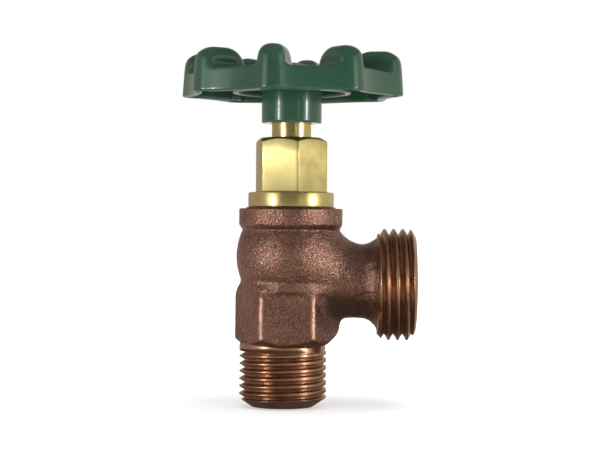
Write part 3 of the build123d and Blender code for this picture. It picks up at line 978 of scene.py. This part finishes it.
def nut_columns():
    """Angles and radii round the nut's hexagon, with its corners rounded."""
    corner_steps, flat_steps = 6, 14
    half_sector = pi / 6
    apothem = NUT_FLATS / 2
    to_centre = (apothem - NUT_CORNER_ROUND) / cos(half_sector)
    angles, radii = [], []
    for corner in range(6):
        middle = corner * pi / 3
        for step in range(corner_steps + 1):
            bend = middle - half_sector + step * pi / (3 * corner_steps)
            px = to_centre * cos(middle) + NUT_CORNER_ROUND * cos(bend)
            py = to_centre * sin(middle) + NUT_CORNER_ROUND * sin(bend)
            angles.append(atan2(py, px) % FULL_TURN if corner else atan2(py, px))
            radii.append(hypot(px, py))
        flat_start = angles[-1]
        next_corner = (corner + 1) * pi / 3
        flat_end = 2 * (middle + half_sector) - flat_start
        for step in range(1, flat_steps):
            angle = flat_start + (flat_end - flat_start) * step / flat_steps
            angles.append(angle)
            radii.append(apothem / cos(angle - (middle + next_corner) / 2))
    angles.append(angles[0] + FULL_TURN)
    radii.append(radii[0])
    return np.array(angles), np.array(radii)


class VALVE_OT_packing_nut(bpy.types.Operator):
    """Brass packing nut: flange, chamfered hexagon, packing space and male thread"""

    bl_idname = "valve.packing_nut"
    bl_label = "Packing nut"

    def execute(self, context):
        angles, hexagon = nut_columns()
        turn = angles + radians(NUT_CORNER_ANGLE - 90)
        chamfer_inset, bore_edge, thread_lead = 0.75, 0.2, 0.5
        top_radius = NUT_FLATS / 2 - chamfer_inset
        slope = tan(radians(30))
        cone = NUT_TOP - (hexagon - top_radius) * slope
        # Rounded edges of the flange: outwards and upwards, in shares of the edge
        lower_edge = ((-1, 0), (-0.1, 0.3), (0, 1))
        upper_edge = ((0, -1.4), (-0.3, -0.4), (-1.4, 0))
        lower = [
            (STEM_BORE + bore_edge, NUT_TOP),
            (STEM_BORE, NUT_TOP - bore_edge),
            (STEM_BORE, PACKING_TOP),
            (PACKING_BORE, PACKING_TOP),
            (PACKING_BORE, NUT_BOTTOM),
            (NUT_THREAD_RADIUS - thread_lead, NUT_BOTTOM),
            (NUT_THREAD_RADIUS, NUT_BOTTOM + thread_lead),
            (NUT_THREAD_RADIUS, LIP_TOP),
        ]
        for corner_height, edge in ((LIP_TOP, lower_edge), (FLANGE_TOP, upper_edge)):
            lower += [
                (FLANGE_RADIUS + out * FLANGE_EDGE, corner_height + up * FLANGE_EDGE) for out, up in edge
            ]
        fillet, fillet_reach, fillet_bend = 0.35, 8.6, (0.12, 0.08)
        straight = 3.0
        # The rounded edge between flats and cone: below it, on it and past it, then that at the top
        edge_below, edge_inset, edge_past = 0.12, 0.05, 0.17
        top_before, top_past = 0.1, 0.15
        flange_top = np.full(turn.shape, FLANGE_TOP)
        rows = plain_rows(turn, lower) + [
            (np.maximum(hexagon + fillet, fillet_reach), flange_top, turn),
            (hexagon + fillet_bend[0], flange_top + fillet_bend[1], turn),
            (hexagon, flange_top + fillet, turn),
            (hexagon, cone - straight, turn),
            (hexagon, cone - edge_below, turn),
            (hexagon - edge_inset, cone, turn),
            (hexagon - edge_past, cone + edge_past * slope, turn),
        ]
        top = [
            (top_radius + top_before, NUT_TOP - top_before * slope),
            (top_radius - top_past, NUT_TOP),
            (STEM_BORE + bore_edge, NUT_TOP),
        ]
        piece = wrapped_mesh("packing_nut_dressed", rows + plain_rows(turn, top), STEM_X)
        mark_edges(piece)
        finish_piece(piece, "nut_brass", ROOT_BODY, ["packing_nut"])
        return {"FINISHED"}


def mark_edges(piece):
    """Keeps sharp edges crisp under smooth shading."""
    sharp = radians(28)
    work = bmesh.new()
    work.from_mesh(piece.data)
    for edge in work.edges:
        if len(edge.link_faces) == 2 and edge.calc_face_angle(0) > sharp:
            edge.smooth = False
    work.to_mesh(piece.data)
    work.free()


def lobed_field(out, side):
    """Distance to the lobed rim outline, in the frame of the nearest lobe."""
    half_step = pi / LOBES
    lobe_centre = LOBE_TIP - LOBE_ROUND
    gap = LOBE_ROUND - VALLEY
    valley_centre = (lobe_centre**2 - gap**2) / (2 * (gap + lobe_centre * cos(half_step)))
    valley_round = valley_centre - VALLEY
    vx, vy = valley_centre * cos(half_step), valley_centre * sin(half_step)
    to_lobe = off_axis(out, side, lobe_centre) - LOBE_ROUND
    to_valley = valley_round - np.sqrt((out - vx) ** 2 + (side - vy) ** 2)
    beyond = (vx - lobe_centre) * side - vy * (out - lobe_centre) < 0
    return np.where(beyond, to_lobe, to_valley)


def fin_field(out, side, z, inset, blend):
    """Radial fin with round upper corners, or its core when inset, in the frame of its lobe."""
    past_tip, below_rim, draft_slope = 0.1, 8, 0.05
    inner = FIN_INNER + inset
    outer = LOBE_TIP + past_tip - inset
    length = np.abs(out - (inner + outer) / 2) - (outer - inner) / 2
    profile = rounded_plate(length, z, RIM_BASE - below_rim, FIN_TOP - inset, FIN_CORNER - inset)
    draft = draft_slope * (z - RIM_TOP)
    return smooth_overlap(profile, side + draft - (FIN_THICKNESS - 2 * inset) / 2, blend)


def wheel_field(x, y, z):
    """Handwheel about the stem's axis: rim, web, fins and their cores, ring, hub and socket."""
    radius = off_axis(x, y)
    step = FULL_TURN / LOBES
    turn = np.arctan2(y, x) - radians(LOBE_ANGLE - 90)
    folded = np.abs(turn - step * np.round(turn / step))
    out = radius * np.cos(folded)
    side = radius * np.sin(folded)
    walls = lobed_field(out, side)
    outline = walls + tan(radians(RIM_DRAFT)) * (z - RIM_BASE)
    upper = smooth_union(z - RIM_TOP, fin_field(out, side, z, inset=0, blend=2.9), blend=1.3)
    wheel = smooth_overlap(outline, upper, blend=0.7)
    wheel = smooth_overlap(wheel, RIM_BASE - z, blend=0.5)
    hollow = np.maximum(walls + RIM_WALL, z - RIM_TOP + WEB)
    wheel = smooth_cut(wheel, hollow, blend=0.6)
    wheel = smooth_cut(wheel, fin_field(out, side, z, inset=FIN_WALL, blend=0.8), blend=0.5)
    wall = np.abs(radius - RING_RADIUS + RING_WIDTH / 2) - RING_WIDTH / 2
    ring = rounded_plate(wall, z, RIM_BASE + RING_SETBACK, RIM_TOP - WEB / 2, edge=0.3)
    wheel = smooth_union(wheel, ring, blend=0.8)
    hub = rounded_plate(radius - HUB_RADIUS, z, HUB_BASE, HUB_TOP, edge=0.2)
    wheel = smooth_union(wheel, hub, blend=1.0)
    socket_depth, half_square, over_hub = 1.6, 3.0, 1
    socket = np.maximum(radius - STEM_BORE, z - HUB_BASE - socket_depth)
    square = np.maximum(np.maximum(np.abs(x), np.abs(y)) - half_square, z - HUB_TOP - over_hub)
    return smooth_cut(wheel, np.minimum(socket, square), blend=0.2)


class VALVE_OT_handwheel(bpy.types.Operator):
    """Enamelled die cast handwheel with a fin on each lobe"""

    bl_idname = "valve.handwheel"
    bl_label = "Handwheel"

    def execute(self, context):
        step = context.scene.valve_sizes.wheel_step
        corner = (LOBE_TIP, LOBE_TIP, FIN_TOP)
        low, (x, y, z) = field_grid((-LOBE_TIP, -LOBE_TIP, HUB_BASE), corner, step)
        piece = mesh_from_field("handwheel_dressed", wheel_field(x, y, z), low, step, STEM_X)
        settle(piece, rounds=3)
        finish_piece(piece, "green_enamel", TURNING_BODY, ["handwheel"])
        return {"FINISHED"}


class VALVE_OT_handle_screw(bpy.types.Operator):
    """Slotted pan-headed screw on top of the hub"""

    bl_idname = "valve.handle_screw"
    bl_label = "Handle screw"

    def execute(self, context):
        step = 0.12
        head = (SCREW_HIGH[0] - SCREW_LOW[0]) / 2
        base, top = SCREW_LOW[2], SCREW_HIGH[2]
        low, (x, y, z) = field_grid((-head, -head, base), (head, head, top), step)
        point, under_inset, under_height = 0.3, 0.1, 0.15
        side_drop, crown_inset, crown_drop = 1.15, 0.25, 0.85
        middle_share, middle_drop = 0.62, 0.28
        shank = [(0, base), (SCREW_SHANK - point, base), (SCREW_SHANK, base + point), (SCREW_SHANK, HUB_TOP)]
        side = [(head - under_inset, HUB_TOP), (head, HUB_TOP + under_height), (head, top - side_drop)]
        rim, middle = (head - crown_inset, top - crown_drop), (head * middle_share, top - middle_drop)
        crown = arc_points(rim, middle, (0, top), count=12)
        screw = turned_field(off_axis(x, y), z, shank + side + crown)
        half_width, depth = SCREW_SLOT
        slot = np.maximum(np.abs(y) - half_width, top - depth - z)
        screw = smooth_cut(screw, slot, blend=0.15)
        piece = mesh_from_field("handle_screw_dressed", screw, low, step, STEM_X)
        finish_piece(piece, "screw_steel", TURNING_BODY, ["handle_screw"])
        return {"FINISHED"}


class VALVE_OT_inner_parts(bpy.types.Operator):
    """Finishes of the stem, packing, washer and screws that keep their CAD shape"""

    bl_idname = "valve.inner_parts"
    bl_label = "Stem and inner parts"

    def execute(self, context):
        finishes = {
            "stem_brass": ("stem", "seat_screw"),
            "nut_brass": ("friction_ring",),
            "packing_graphite": ("packing_ring_1", "packing_ring_2", "packing_ring_3"),
            "washer_rubber": ("seat_washer",),
        }
        for finish, nodes in finishes.items():
            for node in nodes:
                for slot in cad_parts[node].material_slots:
                    slot.link = "OBJECT"
                    slot.material = finish_library()[finish]
        return {"FINISHED"}


def part_light(tree, amount):
    """Strength that rises from the soft light to 1 as an amount goes from 0 to 1."""
    return math_node(tree, "ADD", SOFT_LIGHT, math_node(tree, "MULTIPLY", amount, 1 - SOFT_LIGHT))


def studio_world(scene):
    """White surroundings for the camera and reflections, that light matt surfaces less."""
    world = bpy.data.worlds.new("studio")
    scene.world = world
    world.use_nodes = True
    tree = world.node_tree
    background = tree.nodes["Background"]
    paths = tree.nodes.new("ShaderNodeLightPath")
    seen = math_node(tree, "MAXIMUM", paths.outputs["Is Camera Ray"], paths.outputs["Is Glossy Ray"])
    seen = math_node(tree, "MAXIMUM", seen, paths.outputs["Is Transmission Ray"])
    set_inputs(tree, background, Color=opaque(WHITE), Strength=part_light(tree, seen))


def studio_floor():
    """Pale matt floor that glows, less so round the valve as a painted shadow, where its shadow also falls.
    """
    tone = 0.93
    tree, shader = new_material("floor_white")
    reach = vector_node(tree, "LENGTH", object_place(tree)).outputs["Value"]
    # Painted shadow: the glow fades from full at 120 mm to the soft light within 20 mm of the valve
    glow = part_light(tree, ramp_node(tree, reach, low=20 * MM, high=120 * MM))
    set_inputs(tree, shader, Base_Color=opaque(WHITE, tone), Roughness=0.9)
    set_inputs(tree, shader, Emission_Color=opaque(WHITE), Emission_Strength=glow)
    bpy.ops.mesh.primitive_plane_add(size=6.0, location=(0, 0, -0.2 * MM))
    floor = bpy.context.object
    floor.name = "floor"
    floor.data.materials.append(finish_table["floor_white"])


def softbox(name, azimuth, elevation, distance, width, height, power):
    """Area lamp at an azimuth from the camera's side, towards the outlet when positive."""
    light = bpy.data.lights.new(name, "AREA")
    light.shape = "RECTANGLE"
    light.size = width * MM
    light.size_y = height * MM
    light.energy = power
    lamp = bpy.data.objects.new(name, light)
    bpy.context.scene.collection.objects.link(lamp)
    turn, rise = radians(azimuth), radians(elevation)
    flat = cos(rise) * distance
    away = (STEM_X + flat * sin(turn), -flat * cos(turn), AIM_HEIGHT + distance * sin(rise))
    lamp.location = Vector(away) * MM
    aim = Vector((STEM_X, 0, AIM_HEIGHT)) * MM - lamp.location
    lamp.rotation_euler = aim.to_track_quat("-Z", "Y").to_euler()


def round_card(name, start, end, tone):
    """Card in an arc about the valve."""
    count = 12
    corners = []
    for step in range(count + 1):
        azimuth = radians(start + (end - start) * step / count)
        x, y = STEM_X + CARD_DISTANCE * sin(azimuth), -CARD_DISTANCE * cos(azimuth)
        corners += [(x * MM, y * MM, height * MM) for height in CARD_HEIGHTS]
    faces = [(first, first + 2, first + 3, first + 1) for first in range(0, 2 * count, 2)]
    reflection_card(name, corners, faces, tone)


def level_card(name, height, reach, tone):
    """Level card over or under the valve."""
    plan = ((-1, -1), (1, -1), (1, 1), (-1, 1))
    corners = [(x * reach * MM, y * reach * MM, height * MM) for x, y in plan]
    reflection_card(name, corners, [(0, 1, 2, 3)], tone)


def reflection_card(name, corners, faces, tone):
    """Mesh that glows with a tone and shows in reflections alone."""
    mesh = bpy.data.meshes.new(name)
    mesh.from_pydata(corners, [], faces)
    card = bpy.data.objects.new(name, mesh)
    bpy.context.scene.collection.objects.link(card)
    tree, _ = new_material(name)
    glow = tree.nodes.new("ShaderNodeEmission")
    set_inputs(tree, glow, Color=opaque(tone))
    set_inputs(tree, tree.nodes["Material Output"], Surface=glow.outputs["Emission"])
    mesh.materials.append(finish_table[name])
    card.visible_camera = False
    card.visible_diffuse = False
    card.visible_shadow = False
    card.visible_transmission = False


def place_camera(scene, settings):
    """Camera that puts the valve where the photo has it."""
    lens_pixels = PIXELS_PER_MM * settings.camera_distance
    horizon = GROUND_ROW - PIXELS_PER_MM * settings.camera_height
    pitch = atan2(PHOTO_HEIGHT / 2 - horizon, lens_pixels)
    camera = bpy.data.cameras.new("camera")
    camera.sensor_width = 36.0
    camera.lens = lens_pixels / PHOTO_WIDTH * camera.sensor_width
    camera.clip_start = 0.01
    holder = bpy.data.objects.new("camera", camera)
    scene.collection.objects.link(holder)
    place = (STEM_X + CAMERA_SIDE, -settings.camera_distance, settings.camera_height)
    holder.location = [value * MM for value in place]
    holder.rotation_euler = Euler((pi / 2 - pitch, radians(CAMERA_ROLL), 0))
    scene.camera = holder


class VALVE_OT_studio(bpy.types.Operator):
    """Pale floor, white surroundings, softboxes, cards and the camera"""

    bl_idname = "valve.studio"
    bl_label = "Studio"

    def execute(self, context):
        scene = context.scene
        settings = scene.valve_studio
        scene.view_settings.view_transform = "Standard"
        studio_world(scene)
        studio_floor()
        for name, azimuth, elevation, distance, width, height, share in SOFTBOXES:
            softbox(name, azimuth, elevation, distance, width, height, settings.lamp_power * share)
        for card in ROUND_CARDS:
            round_card(*card)
        for card in LEVEL_CARDS:
            level_card(*card)
        place_camera(scene, settings)
        return {"FINISHED"}


BUILD_ORDER = (
    VALVE_OT_studio,
    VALVE_OT_cast_body,
    VALVE_OT_inlet_end,
    VALVE_OT_hose_end,
    VALVE_OT_packing_nut,
    VALVE_OT_handwheel,
    VALVE_OT_handle_screw,
    VALVE_OT_inner_parts,
)


class VALVE_PT_builder(bpy.types.Panel):
    """Lists the pieces of the valve in the sidebar"""

    bl_label = "Drain valve"
    bl_idname = "VALVE_PT_builder"
    bl_space_type = "VIEW_3D"
    bl_region_type = "UI"
    bl_category = "Drain valve"

    def draw(self, context):
        scene = context.scene
        for group in (scene.valve_sizes, scene.valve_finishes, scene.valve_studio):
            box = self.layout.box()
            for name in group.__annotations__:
                box.prop(group, name)
        for operator in BUILD_ORDER:
            self.layout.operator(operator.bl_idname)


CLASSES = (ValveSizes, ValveFinishes, StudioSettings, *BUILD_ORDER, VALVE_PT_builder)


def register():
    for item in CLASSES:
        bpy.utils.register_class(item)
    bpy.types.Scene.valve_sizes = bpy.props.PointerProperty(type=ValveSizes)
    bpy.types.Scene.valve_finishes = bpy.props.PointerProperty(type=ValveFinishes)
    bpy.types.Scene.valve_studio = bpy.props.PointerProperty(type=StudioSettings)


def unregister():
    for name in ("valve_studio", "valve_finishes", "valve_sizes"):
        delattr(bpy.types.Scene, name)
    for item in reversed(CLASSES):
        bpy.utils.unregister_class(item)


def main():
    register()
    for operator in BUILD_ORDER:
        group, name = operator.bl_idname.split(".")
        getattr(getattr(bpy.ops, group), name)()


if __name__ == "__main__":
    main()
